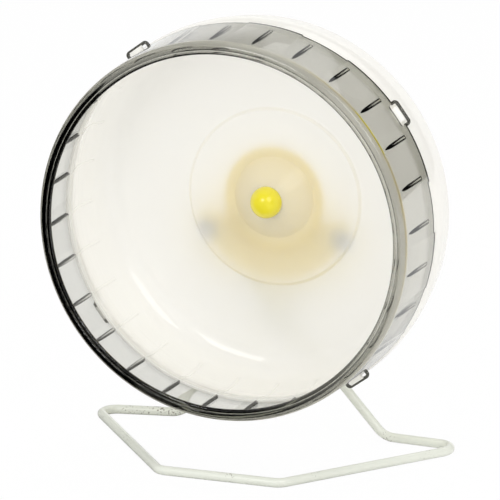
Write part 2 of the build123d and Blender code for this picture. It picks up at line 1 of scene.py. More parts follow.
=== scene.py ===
"""A hamster wheel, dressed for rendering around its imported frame.

A glossy white drum and a smoke-grey clear ring turn on a yellow hub, on a bent,
powder-coated wire stand. Every assembly is a class whose fields are its sizes in
millimetres. Pieces are built about the axle: the axle is the Y axis, the ring's front
face is at y = 0, y grows towards the back, and angles count from +X towards +Z. Each
finished mesh is then scaled to metres and moved onto the floor.
"""

from __future__ import annotations

import json
import logging
import math
from collections.abc import Mapping, Sequence
from dataclasses import dataclass
from enum import Enum
from typing import Any

import bmesh
import bpy
from mathutils import Matrix, Vector

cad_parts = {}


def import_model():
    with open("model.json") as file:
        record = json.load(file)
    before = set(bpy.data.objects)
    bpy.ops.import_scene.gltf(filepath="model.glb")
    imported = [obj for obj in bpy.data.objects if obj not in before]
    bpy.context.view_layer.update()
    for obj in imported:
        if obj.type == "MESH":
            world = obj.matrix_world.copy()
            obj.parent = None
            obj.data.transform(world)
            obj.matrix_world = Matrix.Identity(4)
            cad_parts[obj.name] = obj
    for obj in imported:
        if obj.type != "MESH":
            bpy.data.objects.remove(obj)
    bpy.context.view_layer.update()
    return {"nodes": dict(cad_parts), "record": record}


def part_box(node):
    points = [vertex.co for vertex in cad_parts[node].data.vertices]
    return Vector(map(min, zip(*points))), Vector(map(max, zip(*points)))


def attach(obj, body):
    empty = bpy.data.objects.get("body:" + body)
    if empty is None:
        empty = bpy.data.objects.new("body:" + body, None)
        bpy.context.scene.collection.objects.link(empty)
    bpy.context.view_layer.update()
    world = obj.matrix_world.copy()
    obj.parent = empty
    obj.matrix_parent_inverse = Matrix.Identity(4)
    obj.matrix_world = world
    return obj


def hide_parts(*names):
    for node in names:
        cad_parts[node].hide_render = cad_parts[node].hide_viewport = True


Point = tuple[float, float]
Triple = tuple[float, float, float]
Colour = tuple[float, float, float, float]
Socket = bpy.types.NodeSocket
Material = bpy.types.Material
Mesh = bmesh.types.BMesh
Edge = bmesh.types.BMEdge
Vert = bmesh.types.BMVert

LOG = logging.getLogger("hamster_wheel")
MM = 0.001
AXLE = Vector((0.0, 1.0, 0.0))
AXLE_HEIGHT = 200.5
MERGE_REACH = 1e-4
X, Y = 0, 1
WHITE = (1.0, 1.0, 1.0, 1.0)
# The Mix node's sockets for colours and for plain values
COLOUR_A, COLOUR_B, COLOUR_OUT = 6, 7, 2
VALUE_A, VALUE_B, VALUE_OUT = 2, 3, 0
SPAN_INPUTS = ("Value", "From Min", "From Max", "To Min", "To Max")


class Join(Enum):
    """How a second mesh changes the first."""

    ADD = "UNION"
    CUT = "DIFFERENCE"


class Body(Enum):
    """The rigid bodies of the frame that new pieces ride on."""

    STAND = "stand"
    WHEEL = "wheel"


# Colours and nodes


def linear(hex_colour: str) -> Colour:
    """Turn an sRGB hex colour into linear RGBA.

    Args:
        hex_colour: Six hex digits.

    Returns:
        Linear red, green and blue, and an alpha of one.
    """
    channels = [int(hex_colour[start : start + 2], 16) / 255 for start in (0, 2, 4)]
    red, green, blue = (
        value / 12.92 if value <= 0.04045 else ((value + 0.055) / 1.055) ** 2.4
        for value in channels
    )
    return red, green, blue, 1.0


@dataclass
class NodeBoard:
    """Fills one node tree, with a short call for each kind of node used often."""

    tree: bpy.types.NodeTree

    def add(
        self, kind: str, inputs: Mapping[str | int, Any] | None = None, **settings: Any
    ) -> bpy.types.Node:
        """Add one shader node with its settings, constants and links.

        Args:
            kind: The node's type name without its ShaderNode, such as Bump.
            inputs: Input name or index, with a constant or an output socket to link.
            settings: Attributes of the node.

        Returns:
            The new node.
        """
        node = self.tree.nodes.new(f"ShaderNode{kind}")
        for name, value in settings.items():
            setattr(node, name, value)
        for key, value in (inputs or {}).items():
            if isinstance(value, Socket):
                self.tree.links.new(value, node.inputs[key])
            else:
                node.inputs[key].default_value = value
        return node

    def place(self) -> Socket:
        """Place on the piece, in metres."""
        return self.add("TexCoord").outputs["Object"]

    def noise(self, place: Socket, size_mm: float, detail: float) -> Socket:
        """Soft noise from 0 to 1, with patches of about this size."""
        inputs = {"Vector": place, "Scale": 1 / (size_mm * MM), "Detail": detail}
        return self.add("TexNoise", inputs).outputs["Fac"]

    def bump(self, height: Socket, tallest_mm: float) -> Socket:
        """Surface normal over small heights, which grow from 0 to 1."""
        inputs = {"Height": height, "Distance": tallest_mm * MM}
        return self.add("Bump", inputs).outputs["Normal"]

    def math(self, operation: str, first: Any, second: Any, **settings: Any) -> Socket:
        """Result of one operation on two values."""
        node = self.add("Math", {0: first, 1: second}, operation=operation, **settings)
        return node.outputs["Value"]

    def vector(self, operation: str, result: str, *values: Any) -> Socket:
        """Result of one operation on vectors, by the result's socket name."""
        node = self.add("VectorMath", dict(enumerate(values)), operation=operation)
        return node.outputs[result]

    def span(self, value: Socket, ends: Point = (0.0, 1.0), onto: Point = (0.0, 1.0)) -> Socket:
        """Value moved from the span between two ends onto another, and kept inside it."""
        inputs = dict(zip(SPAN_INPUTS, (value, *ends, *onto)))
        return self.add("MapRange", inputs).outputs["Result"]

    def clouds(self, noise: Socket, colour: str, shade: str) -> Socket:
        """Soft patches of a colour and a close shade of it."""
        return self.tint(noise, linear(colour), linear(shade))

    def tint(self, share: Socket, first: Colour | Socket, second: Colour | Socket) -> Socket:
        """Colour between two colours."""
        inputs = {0: share, COLOUR_A: first, COLOUR_B: second}
        return self.add("Mix", inputs, data_type="RGBA").outputs[COLOUR_OUT]

    def surface(
        self, colour: Colour | Socket, roughness: float | Socket, more: Mapping[str, Any]
    ) -> Socket:
        """Surface shader, with its further inputs."""
        inputs = {"Base Color": colour, "Roughness": roughness, **more}
        return self.add("BsdfPrincipled", inputs).outputs["BSDF"]

    def mixed(self, share: float | Socket, first: Socket, second: Socket) -> Socket:
        """Shader between two shaders."""
        return self.add("MixShader", {0: share, 1: first, 2: second}).outputs["Shader"]

    def close(self, surface: Socket, **more: Socket) -> None:
        """Add the material's output node."""
        self.add("OutputMaterial", {"Surface": surface, **more})

    def grey_ramp(
        self, value: Socket, places: Sequence[float], levels: Sequence[float]
    ) -> Socket:
        """Grade a value from 0 to 1 in steps of grey.

        Args:
            value: The value to grade.
            places: Places along the value, two or more.
            levels: The level at each place.

        Returns:
            The graded value.
        """
        ramp = self.add("ValToRGB", {0: value})
        stops = ramp.color_ramp.elements
        for index, (where, level) in enumerate(zip(places, levels)):
            stop = stops[index] if index < len(stops) else stops.new(where)
            stop.position = where
            stop.color = (level, level, level, 1.0)
        return ramp.outputs["Color"]

    def axle_radius(self, place: Socket) -> Socket:
        """Distance of a place on a wheel piece from the axle, in metres."""
        flat = self.vector("MULTIPLY", "Vector", place, (1.0, 0.0, 1.0))
        return self.vector("DISTANCE", "Value", flat, (0.0, 0.0, AXLE_HEIGHT * MM))

    def let_light_in(self, surface: Socket, colour: Socket, share: float | Socket) -> Socket:
        """Let part of the light into a wall, scatter it once, and let it leave freely.

        Args:
            surface: The shader of the wall's surface.
            colour: Colour that the light takes on.
            share: Share of the light that enters.

        Returns:
            The mixed shader.
        """
        inside = self.add("BsdfTranslucent", {"Color": colour}).outputs["BSDF"]
        leaving = self.add("BsdfTransparent").outputs["BSDF"]
        backfacing = self.add("NewGeometry").outputs["Backfacing"]
        return self.mixed(backfacing, self.mixed(share, surface, inside), leaving)

    def seen_rays(self) -> tuple[Socket, Socket]:
        """Tell the rays that see the studio from those that only carry its light.

        Returns:
            One for camera rays, and one for mirrored or see-through rays.
        """
        path = self.add("LightPath").outputs
        seen = self.math("MAXIMUM", path["Is Glossy Ray"], path["Is Transmission Ray"])
        scattered = self.math("ADD", path["Is Diffuse Ray"], path["Diffuse Depth"])
        return path["Is Camera Ray"], self.math("SUBTRACT", seen, scattered, use_clamp=True)

    def lifted(self, mirrored: Socket, level: float) -> Socket:
        """Brightness for mirrored rays, and at least a level of it for every other ray."""
        bounces = self.add("LightPath").outputs["Glossy Depth"]
        return self.math("MAXIMUM", mirrored, self.span(bounces, onto=(level, 0.0)))


def new_material(name: str) -> tuple[Material, NodeBoard]:
    """Make a material with an empty node tree.

    Args:
        name: The material's name.

    Returns:
        The material, and the board that fills its tree.
    """
    material = bpy.data.materials.new(name)
    material.use_nodes = True
    material.node_tree.nodes.clear()
    return material, NodeBoard(material.node_tree)


# Finishes


@dataclass(frozen=True)
class DrumPlastic:
    """Injection-moulded white ABS, polished in the mould.

    The moulding lets a little light in, so what lies right behind the wall shows as a
    soft tint, and its polished skin mirrors the room faintly. `glow_shares` says how
    much of the light enters at each of the `glow_radii` from the axle.
    """

    name: str = "moulded_gloss_abs_white"
    colour: str = "FBFAF6"
    shade: str = "FAF8F2"
    roughness: float = 0.5
    ior: float = 1.53
    glow_radii: tuple[float, ...] = (28.0, 38.0, 42.0, 54.0, 112.0, 140.0)
    glow_shares: tuple[float, ...] = (0.48, 0.56, 0.6, 0.54, 0.54, 0.3)
    depth_shine: float = 0.0
    skin: float = 1.0
    skin_roughness: float = 0.025
    flow_mm: float = 90.0
    orange_peel_mm: float = 14.0
    peel_height_mm: float = 0.02

    def build(self) -> Material:
        """Build the material.

        Returns:
            The finished material.
        """
        material, board = new_material(self.name)
        place = board.place()
        tint = board.clouds(board.noise(place, self.flow_mm, 2.0), self.colour, self.shade)
        normal = board.bump(board.noise(place, self.orange_peel_mm, 1.0), self.peel_height_mm)
        skin = {
            "IOR": self.ior,
            "Specular IOR Level": self.depth_shine,
            "Coat Weight": self.skin,
            "Coat Roughness": self.skin_roughness,
            "Normal": normal,
            "Coat Normal": normal,
        }
        surface = board.surface(tint, self.roughness, skin)
        reach = self.glow_radii[-1]
        outward = board.span(board.axle_radius(place), (0.0, reach * MM))
        places = [radius / reach for radius in self.glow_radii]
        share = board.grey_ramp(outward, places, self.glow_shares)
        board.close(board.let_light_in(surface, tint, share))
        return material


@dataclass(frozen=True)
class ClearPlastic:
    """Injection-moulded smoke-grey polystyrene.

    Light fades with every millimetre of plastic that it crosses, so thin walls look
    pale grey and the thick lip looks dark. The rear end face and the snap loops carry
    painted shade: darker tints that stand in for the dark line and dark outlines that the
    clear plastic shows there, each blended in over a short span of depth or of radius.
    Light from the lamps crosses the ring without bending, and takes on `lamp_tint`.
    """

    name: str = "moulded_clear_polystyrene_smoke"
    surface: str = "FBFBF8"
    dye: str = "8C8B7A"
    density_per_mm: float = 0.15
    roughness: float = 0.035
    ior: float = 1.57
    lamp_tint: str = "FDFDFA"
    # Painted shade: a dark tint on the rear end face, standing in for the dark line that light lost
    # inside the plastic makes there
    end_painted_shade: str = "30302D"
    end_shade_mm: Point = (-12.0, -11.6)
    # Painted shade: a grey tint on the snap loops, standing in for the dark outlines that the clear
    # plastic shows round them
    loop_painted_shade: str = "C4C4BC"
    loop_shade_mm: Point = (155.6, 156.4)
    ripple_mm: float = 22.0
    ripple_height_mm: float = 0.004

    def build(self) -> Material:
        """Build the material.

        Returns:
            The finished material.
        """
        material, board = new_material(self.name)
        place = board.place()
        depth = board.add("SeparateXYZ", {"Vector": place}).outputs["Y"]
        tint: Colour | Socket = linear(self.surface)
        # Painted shade: grey on the snap loops by radius, and dark on the rear end face by depth
        for spot, (start, end), colour in (
            (board.axle_radius(place), self.loop_shade_mm, self.loop_painted_shade),
            (depth, self.end_shade_mm, self.end_painted_shade),
        ):
            tint = board.tint(board.span(spot, (start * MM, end * MM)), tint, linear(colour))
        normal = board.bump(board.noise(place, self.ripple_mm, 1.0), self.ripple_height_mm)
        glass = {"IOR": self.ior, "Transmission Weight": 1.0, "Normal": normal}
        clear = board.surface(tint, self.roughness, glass)
        open_way = board.add("BsdfTransparent", {"Color": linear(self.lamp_tint)})
        to_lamp = board.add("LightPath").outputs["Is Shadow Ray"]
        density = self.density_per_mm / MM
        dye = board.add("VolumeAbsorption", {"Color": linear(self.dye), "Density": density})
        board.close(
            board.mixed(to_lamp, clear, open_way.outputs["BSDF"]), Volume=dye.outputs["Volume"]
        )
        return material


@dataclass(frozen=True)
class MouldedPlastic:
    """Injection-moulded coloured plastic with a faint spark-eroded grain."""

    name: str
    colour: str
    shade: str
    roughness: float
    coat: float = 0.0
    glow: float = 0.0
    ior: float = 1.5
    cloud_mm: float = 12.0
    grain_mm: float = 0.6
    grain_height_mm: float = 0.01

    def build(self) -> Material:
        """Build the material.

        Returns:
            The finished material.
        """
        material, board = new_material(self.name)
        place = board.place()
        tint = board.clouds(board.noise(place, self.cloud_mm, 3.0), self.colour, self.shade)
        normal = board.bump(board.noise(place, self.grain_mm, 2.0), self.grain_height_mm)
        skin = {"IOR": self.ior, "Coat Weight": self.coat, "Normal": normal}
        surface = board.surface(tint, self.roughness, skin)
        board.close(board.let_light_in(surface, tint, self.glow))
        return material


@dataclass(frozen=True)
class PowderCoat:
    """White polyester powder coat on steel wire, with small chips down to the metal."""

    name: str = "powder_coated_steel_white"
    colour: str = "E6E8DE"
    shade: str = "DDE0D4"
    cloud_mm: float = 30.0
    roughness: float = 0.3
    ior: float = 1.5
    coat: float = 0.4
    coat_roughness: float = 0.15
    peel_mm: float = 2.2
    peel_height_mm: float = 0.03
    chip: str = "8A857A"
    chip_share: Point = (0.39, 0.43)
    chip_mm: float = 1.6
    worn_mm: float = 42.0

    def build(self) -> Material:
        """Build the material.

        Returns:
            The finished material.
        """
        material, board = new_material(self.name)
        place = board.place()
        tint = board.clouds(board.noise(place, self.cloud_mm, 4.0), self.colour, self.shade)
        flecks, patches = (board.noise(place, size, 2.0) for size in (self.chip_mm, self.worn_mm))
        chipped = board.span(board.math("MULTIPLY", flecks, patches), self.chip_share)
        skin = board.tint(chipped, tint, linear(self.chip))
        normal = board.bump(board.noise(place, self.peel_mm, 1.0), self.peel_height_mm)
        coat = {"IOR": self.ior, "Coat Weight": self.coat, "Normal": normal}
        coat["Coat Roughness"] = self.coat_roughness
        board.close(board.surface(skin, self.roughness, coat))
        return material


@dataclass(frozen=True)
class Steel:
    """Bare or plated steel, with fine marks from grinding or rolling."""

    name: str
    colour: str
    roughness: float
    mark_mm: float = 0.5
    mark_shares: Point = (0.7, 1.3)

    def build(self) -> Material:
        """Build the material.

        Returns:
            The finished material.
        """
        material, board = new_material(self.name)
        marks = board.noise(board.place(), self.mark_mm, 3.0)
        least, most = (self.roughness * share for share in self.mark_shares)
        rough = board.span(marks, onto=(least, most))
        board.close(board.surface(linear(self.colour), rough, {"Metallic": 1.0}))
        return material


# Mesh helpers


def mesh_data(name: str, mesh: Mesh) -> bpy.types.Mesh:
    """Move a mesh into mesh data.

    Args:
        name: The data's name.
        mesh: The mesh. It is freed.

    Returns:
        The data.
    """
    data = bpy.data.meshes.new(name)
    mesh.to_mesh(data)
    mesh.free()
    return data


def show(name: str, data: bpy.types.ID) -> bpy.types.Object:
    """Put a new object in the scene.

    Args:
        name: The object's name.
        data: Its mesh, camera or light.

    Returns:
        The object.
    """
    item = bpy.data.objects.new(name, data)
    bpy.context.scene.collection.objects.link(item)
    return item


def face_outward(mesh: Mesh) -> Mesh:
    """Point the faces of a closed mesh outward, and give the mesh back."""
    bmesh.ops.recalc_face_normals(mesh, faces=mesh.faces[:])
    return mesh


def turn(mesh: Mesh, verts: Sequence[Vert], angle: float, axis: Any) -> None:
    """Turn points of a mesh by radians about an axis through the origin."""
    matrix = Matrix.Rotation(angle, 3, axis)
    bmesh.ops.rotate(mesh, verts=verts, cent=Vector(), matrix=matrix)


def spin(
    mesh: Mesh, geom: Sequence[Any], axis: Vector, angle: float, steps: int, **more: Any
) -> list[Any]:
    """Spin points, edges or faces about an axis, and give back what ends the sweep."""
    more = {"cent": Vector(), **more}
    return bmesh.ops.spin(mesh, geom=geom, axis=axis, angle=angle, steps=steps, **more)["geom_last"]


def move(mesh: Mesh, verts: Sequence[Vert], step: Sequence[float]) -> None:
    """Move points of a mesh."""
    bmesh.ops.translate(mesh, verts=verts, vec=step)


def only(items: Sequence[Any], kind: type) -> list[Any]:
    """Keep the items of one kind."""
    return [item for item in items if isinstance(item, kind)]


def bevel(
    mesh: Mesh, geom: Sequence[Vert | Edge], width: float, segments: int, **settings: Any
) -> None:
    """Round points or edges of a mesh."""
    settings |= {"offset_type": "OFFSET", "profile": 0.5, "material": -1}
    bmesh.ops.bevel(mesh, geom=geom, offset=width, segments=segments, **settings)


def rounded_outline(corners: Sequence[Triple], segments: int, closed: bool = True) -> Mesh:
    """Draw a flat outline with rounded corners.

    Args:
        corners: Radius and depth of each corner, and its rounding, zero for a sharp one.
        segments: Straight pieces in each rounded corner.
        closed: Whether the last corner joins the first.

    Returns:
        A mesh of loose edges in the XY plane.
    """
    mesh = bmesh.new()
    verts = [mesh.verts.new((radius, y, 0.0)) for radius, y, _ in corners]
    pairs = list(zip(verts, verts[1:]))
    if closed:
        pairs.append((verts[-1], verts[0]))
    for pair in pairs:
        mesh.edges.new(pair)
    for vert, (_, _, rounding) in zip(verts, corners):
        if not rounding:
            continue
        sides = [edge.other_vert(vert).co - vert.co for edge in vert.link_edges]
        half = sides[0].angle(sides[1]) / 2
        bevel(mesh, [vert], rounding / math.tan(half), segments, affect="VERTICES")
    return mesh


def filled(outline: Mesh) -> Mesh:
    """Fill a closed outline with one face, and give the mesh back."""
    bmesh.ops.contextual_create(outline, geom=outline.edges[:])
    return outline


def turned(outline: Mesh, steps: int) -> Mesh:
    """Spin an outline of radius and depth through a full turn about the axle.

    Args:
        outline: The outline, which becomes the turned shape.
        steps: Number of segments round the turn.

    Returns:
        The same mesh.
    """
    spin(outline, outline.verts[:] + outline.edges[:], AXLE, math.tau, steps, use_merge=True)
    bmesh.ops.remove_doubles(outline, verts=outline.verts[:], dist=MERGE_REACH)
    return face_outward(outline)


def add_copies(target: Mesh, part: Mesh, turns: Sequence[float]) -> Mesh:
    """Add copies of a part, each turned about the axle.

    Args:
        target: The mesh that gets the copies.
        part: The part, drawn at angle zero. It is freed.
        turns: Angles in degrees from +X towards +Z.

    Returns:
        The target mesh.
    """
    template = mesh_data("template", part)
    for angle in turns:
        before = len(target.verts)
        target.from_mesh(template)
        target.verts.ensure_lookup_table()
        turn(target, target.verts[before:], -math.radians(angle), AXLE)
    bpy.data.meshes.remove(template)
    return target


def combined(base: Mesh, tool: Mesh, how: Join) -> Mesh:
    """Add one closed mesh to another, or cut it away.

    Args:
        base: The mesh that is changed. It is freed.
        tool: The mesh that changes it. It is freed.
        how: Whether the tool is added or cut away.

    Returns:
        The new mesh.
    """
    scratch = [show("scratch", mesh_data("scratch", mesh)) for mesh in (base, tool)]
    carve = scratch[0].modifiers.new("carve", "BOOLEAN")
    carve.object = scratch[1]
    carve.operation = how.value
    carve.solver = "EXACT"
    bpy.context.view_layer.update()
    result = bmesh.new()
    result.from_object(scratch[0], bpy.context.evaluated_depsgraph_get())
    for item in scratch:
        data = item.data
        bpy.data.objects.remove(item)
        bpy.data.meshes.remove(data)
    return result


def block(
    low: Triple, high: Triple, side: int, along: int, rounding: float, segments: int
) -> Mesh:
    """Make a box with two rounded edges.

    Args:
        low: Lowest corner.
        high: Highest corner.
        side: Axis whose low side has the rounded edges.
        along: Axis that they run along.
        rounding: Their radius.
        segments: Faces across the rounding.

    Returns:
        The box.
    """
    mesh = bmesh.new()
    middle = (Vector(low) + Vector(high)) / 2
    size = Vector(high) - Vector(low)
    shape = Matrix.Translation(middle) @ Matrix.Diagonal((*size, 1.0))
    bmesh.ops.create_cube(mesh, size=1.0, matrix=shape)
    edges = [
        edge
        for edge in mesh.edges
        if all(vert.co[side] < middle[side] for vert in edge.verts)
        and abs(edge.verts[0].co[along] - edge.verts[1].co[along]) > size[along] / 2
    ]
    bevel(mesh, edges, rounding, segments, affect="EDGES", clamp_overlap=True)
    return mesh


def push(mesh: Mesh, rim: list[Edge], step: Vector) -> list[Edge]:
    """Extrude an open rim straight ahead.

    Args:
        mesh: The mesh that holds the rim.
        rim: The rim's edges.
        step: How far and which way it goes.

    Returns:
        The new rim's edges.
    """
    grown = bmesh.ops.extrude_edge_only(mesh, edges=rim)["geom"]
    corners = only(grown, Vert)
    move(mesh, corners, step)
    fresh = set(corners)
    return [edge for edge in only(grown, Edge) if set(edge.verts) <= fresh]


def rim_verts(rim: Sequence[Edge]) -> list[Vert]:
    """List the points of a rim once each."""
    return list({vert for edge in rim for vert in edge.verts})


def bent_rod(route: Sequence[Triple], bends: Sequence[float], radius: float, sides: int) -> Mesh:
    """Push and bend a round rod along a route, as a wire bender does.

    Args:
        route: Virtual corners of the centre line.
        bends: Bend radius at each corner between the first and last.
        radius: Radius of the rod.
        sides: Faces round the rod.

    Returns:
        The rod, closed at both ends.
    """
    degrees_per_step, fewest_steps = 6, 4
    points = [Vector(point) for point in route]
    mesh = bmesh.new()
    start = (points[1] - points[0]).normalized()
    facing = start.to_track_quat("Z", "Y").to_matrix().to_4x4()
    place = Matrix.Translation(points[0]) @ facing
    bmesh.ops.create_circle(mesh, segments=sides, radius=radius, cap_ends=True, matrix=place)
    rim = list(mesh.faces[:][0].edges)
    here = points[0].copy()
    for index, bend in enumerate(bends, start=1):
        ahead = (points[index] - points[index - 1]).normalized()
        after = (points[index + 1] - points[index]).normalized()
        angle = ahead.angle(after)
        reach = bend * math.tan(angle / 2)
        stop = points[index] - ahead * reach
        rim = push(mesh, rim, stop - here)
        hinge = ahead.cross(after).normalized()
        centre = stop + hinge.cross(ahead) * bend
        steps = max(fewest_steps, round(math.degrees(angle) / degrees_per_step))
        rim = only(spin(mesh, rim + rim_verts(rim), hinge, angle, steps, cent=centre), Edge)
        here = points[index] + after * reach
    rim = push(mesh, rim, points[-1] - here)
    bmesh.ops.contextual_create(mesh, geom=rim)
    return face_outward(mesh)


@dataclass
class Workshop:
    """Turns finished meshes into pieces that ride on the frame.

    Attributes:
        place: Takes axle millimetres to metres on the floor.
        finishes: Material slot with its finish.
        crisp: Edges that turn by more degrees than this stay crisp.
    """

    place: Matrix
    finishes: Mapping[str, Material]
    crisp: float = 35.0

    def piece(self, name: str, mesh: Mesh, slot: str, body: Body, nodes: Sequence[str]) -> None:
        """Place a mesh in the scene as a smooth-shaded piece.

        Args:
            name: The piece's name.
            mesh: Its mesh about the axle, in millimetres. It is freed.
            slot: Its material slot.
            body: The body that it rides on.
            nodes: CAD nodes that it stands for.
        """
        bmesh.ops.transform(mesh, matrix=self.place, verts=mesh.verts[:])
        limit = math.radians(self.crisp)
        for face in mesh.faces:
            face.smooth = True
        for edge in mesh.edges:
            edge.smooth = edge.calc_face_angle(0.0) < limit
        data = mesh_data(name, mesh)
        data.materials.append(self.finishes[slot])
        item = show(name, data)
        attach(item, body.value)
        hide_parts(*nodes)
        LOG.info("made %s: %d faces", name, len(data.polygons))


# The wheel's pieces


@dataclass(frozen=True)
class WheelPlan:
    """Sizes that the ring and the drum share, in millimetres and degrees."""

    band_front: float = 151.9
    band_flare: float = 3.3
    ring_depth: float = 67.0
    band_wall: float = 2.2
    rungs: int = 28
    clips: int = 4
    first_clip: float = 36.0
    window_depth: float = 8.5
    loop_rise: float = 5.0
    loop_thickness: float = 2.8
    notch_offset: float = 29.0
    notch_angle: float = 15.0
    notch_depth: float = 2.7
    rim_y: float = 56.0
    skirt_gap: float = 0.25
    round_steps: int = 336

    def band(self, y: float) -> float:
        """Outer radius of the clear band at a depth."""
        return self.band_front + self.band_flare * y / self.ring_depth

    @property
    def rear(self) -> float:
        """Outer radius of the clear band at its rear end."""
        return self.band(self.ring_depth)

    @property
    def notch_reach(self) -> float:
        """Half the width of a notch at the band's rear end."""
        return self.rear * math.tan(math.radians(self.notch_angle / 2))

    def rung_angles(self) -> list[float]:
        """Angles of the rungs."""
        step = 360 / self.rungs
        return [self.first_clip + step * (index + 0.5) for index in range(self.rungs)]

    def clip_angles(self) -> list[float]:
        """Angles of the snap clips."""
        return [self.first_clip + 360 / self.clips * index for index in range(self.clips)]

    def notch_angles(self) -> list[float]:
        """Angles of the notches either side of each clip."""
        sides = (-self.notch_offset, self.notch_offset)
        return [angle + side for angle in self.clip_angles() for side in sides]


@dataclass
class ClearRing:
    """The see-through front ring with its lip, rungs and snap loops.

    A rung is drawn through stations, each with its half width and its height.
    `rung_shares` holds the front ones, as shares of the rung's length, width and
    height, and `nose_shares` the rear ones, with the first share of the nose's length.
    """

    shop: Workshop
    plan: WheelPlan
    corner_faces: int = 10
    lip_inner: float = 142.0
    lip_rounding: float = 2.0
    lip_corner: float = 5.2
    lip_edge: float = 2.4
    lip_edge_rounding: float = 0.3
    lip_slope: float = 35.6
    groove_inset: float = 3.6
    groove_width: float = 1.4
    groove_depth: float = 0.7
    soft_rounding: float = 0.6
    rear_rounding: float = 0.35
    rung_start: float = 13.0
    rung_width: float = 3.6
    rung_height: float = 2.8
    rung_tip: float = 0.5
    rung_root: float = 0.8
    rung_faces: int = 20
    rung_shares: tuple[Triple, ...] = (
        (0.06, 0.26, 0.24),
        (0.16, 0.38, 0.38),
        (0.32, 0.46, 0.58),
        (0.55, 0.5, 0.82),
    )
    nose_shares: tuple[Triple, ...] = ((1.0, 0.5, 1.0), (0.4, 0.45, 0.92), (0.0, 0.24, 0.6))
    window_width: float = 19.0
    window_rounding: float = 2.4
    window_faces: int = 6
    notch_rounding: float = 0.8
    notch_faces: int = 4
    overrun: float = 8.0
    loop_width: float = 22.8
    loop_bend: float = 2.4
    loop_faces: int = 16

    def body(self) -> Mesh:
        """Turn the lip and the band.

        Returns:
            The ring without rungs, windows or loops.
        """
        plan = self.plan
        inner, edge_y, slope = self.lip_inner, self.lip_edge, math.radians(self.lip_slope)
        middle, groove = inner + self.groove_inset, self.groove_width / 2
        flare = plan.band_flare / plan.ring_depth
        run = (plan.band(edge_y) - plan.band_wall - inner) / (1 - flare * math.tan(slope))
        corners = [
            (inner, 0.0, self.lip_rounding),
            (middle - groove, 0.0, self.soft_rounding),
            (middle, self.groove_depth, self.soft_rounding),
            (middle + groove, 0.0, self.soft_rounding),
            (plan.band(0.0), 0.0, self.lip_corner),
            (plan.rear, plan.ring_depth, self.rear_rounding),
            (plan.rear - plan.band_wall, plan.ring_depth, self.rear_rounding),
            (inner + run, edge_y + run * math.tan(slope), self.soft_rounding),
            (inner, edge_y, self.lip_edge_rounding),
        ]
        return turned(rounded_outline(corners, self.corner_faces), plan.round_steps)

    def rung_stations(self) -> list[Triple]:
        """Place the rung's cross-sections.

        Returns:
            Distance from the rung's front, half width and height of each.
        """
        length = self.plan.rim_y - self.rung_start - self.plan.skirt_gap
        width, height = self.rung_width, self.rung_height
        stations = [(0.0, self.rung_tip / 2, self.rung_tip)]
        stations += [(length * y, width * w, height * h) for y, w, h in self.rung_shares]
        nose = width / 2
        rear = [(length - nose * y, width * w, height * h) for y, w, h in self.nose_shares]
        return stations + rear

    def rung(self) -> Mesh:
        """Shape one pointed rung: a tapered half-round rod with a rounded back end.

        Returns:
            The rung at angle zero.
        """
        plan, stations = self.plan, self.rung_stations()
        mesh = bmesh.new()
        upright = Matrix.Rotation(math.radians(90), 4, "X")
        faces = self.rung_faces
        bmesh.ops.create_circle(mesh, segments=faces, radius=1.0, cap_ends=True, matrix=upright)
        rim = list(mesh.edges)
        _, half, height = stations[0]
        bmesh.ops.scale(mesh, verts=list(mesh.verts), vec=(height, 1.0, half))
        for before, (y, half, height) in zip(stations, stations[1:]):
            rim = push(mesh, rim, Vector((0.0, y - before[0], 0.0)))
            growth = (height / before[2], 1.0, half / before[1])
            about = Matrix.Translation((0.0, -y, 0.0))
            bmesh.ops.scale(mesh, verts=rim_verts(rim), vec=growth, space=about)
        bmesh.ops.contextual_create(mesh, geom=rim)
        outside = [vert for vert in mesh.verts if vert.co.x > 0]
        bmesh.ops.scale(mesh, verts=outside, vec=(self.rung_root / self.rung_height, 1.0, 1.0))
        turn(mesh, mesh.verts[:], -math.atan(plan.band_flare / plan.ring_depth), "Z")
        start = Vector((plan.band(self.rung_start) - plan.band_wall, self.rung_start, 0.0))
        move(mesh, mesh.verts[:], start)
        return face_outward(mesh)

    def windows(self) -> Mesh:
        """Make the cutters for the clip windows and the notches.

        Returns:
            All cutters in one mesh.
        """
        plan, over = self.plan, self.overrun
        rear, back = plan.rear, plan.ring_depth
        cutters = bmesh.new()
        window = (plan.window_depth, self.window_width / 2, self.window_rounding)
        notch = (plan.notch_depth, plan.notch_reach, self.notch_rounding)
        for (depth, half, rounding), faces, angles in (
            (window, self.window_faces, plan.clip_angles()),
            (notch, self.notch_faces, plan.notch_angles()),
        ):
            low, high = (rear - over, back - depth, -half), (rear + over, back + over / 2, half)
            add_copies(cutters, block(low, high, Y, X, rounding, faces), angles)
        return cutters

    def loops(self) -> Mesh:
        """Bend the four raised snap loops.

        Returns:
            All loops in one mesh.
        """
        plan = self.plan
        rod = plan.loop_thickness / 2
        high = plan.rear + plan.loop_rise - rod
        low = plan.rear - plan.band_wall / 2
        half = self.loop_width / 2 - rod
        y = plan.ring_depth - rod
        corners = ((low, -half), (high, -half), (high, half), (low, half))
        route = [(x, y, z) for x, z in corners]
        loop = bent_rod(route, [self.loop_bend] * 2, rod, self.loop_faces)
        return add_copies(bmesh.new(), loop, plan.clip_angles())

    def make(self) -> None:
        """Build the ring as one closed piece."""
        ring = combined(self.body(), self.windows(), Join.CUT)
        rungs = add_copies(bmesh.new(), self.rung(), self.plan.rung_angles())
        for part in (rungs, self.loops()):
            ring = combined(ring, part, Join.ADD)
        self.shop.piece("clear_ring", ring, "smoke_clear", Body.WHEEL, ["front_ring"])


